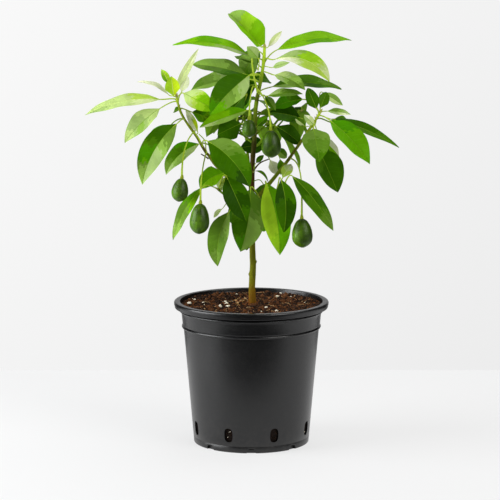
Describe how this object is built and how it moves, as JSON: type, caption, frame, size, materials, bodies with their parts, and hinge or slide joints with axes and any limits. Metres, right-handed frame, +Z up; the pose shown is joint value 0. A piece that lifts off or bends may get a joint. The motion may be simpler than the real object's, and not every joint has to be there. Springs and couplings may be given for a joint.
{
  "type": "avocado tree in a pot",
  "caption": "Young avocado tree with hanging green fruit, two main boughs and a slim trunk, in a black plastic nursery pot of dark potting mix.",
  "frame": {"origin": "centre of the pot's flat underside", "axes": "+Z up along the trunk, +X to the right of the front view, +Y to the back"},
  "size_m": [0.4355, 0.2941, 0.6131],
  "materials": {
    "pot_plastic": "satin",
    "potting_mix": "rough, crumbly, with white grains",
    "bark": "smooth young bark",
    "foliage": "waxy leaves"
  },
  "bodies": {
    "root": {"pot": "pot_plastic", "soil": "potting_mix", "trunk": "bark", "left_bough": "bark", "right_bough": "bark", "back_bough": "bark", "top_foliage": "foliage", "left_foliage": "foliage", "right_foliage": "foliage", "front_left_foliage": "foliage", "front_right_foliage": "foliage", "back_left_foliage": "foliage", "back_right_foliage": "foliage", "back_foliage": "foliage", "back_low_foliage": "foliage"}
  },
  "joints": []
}
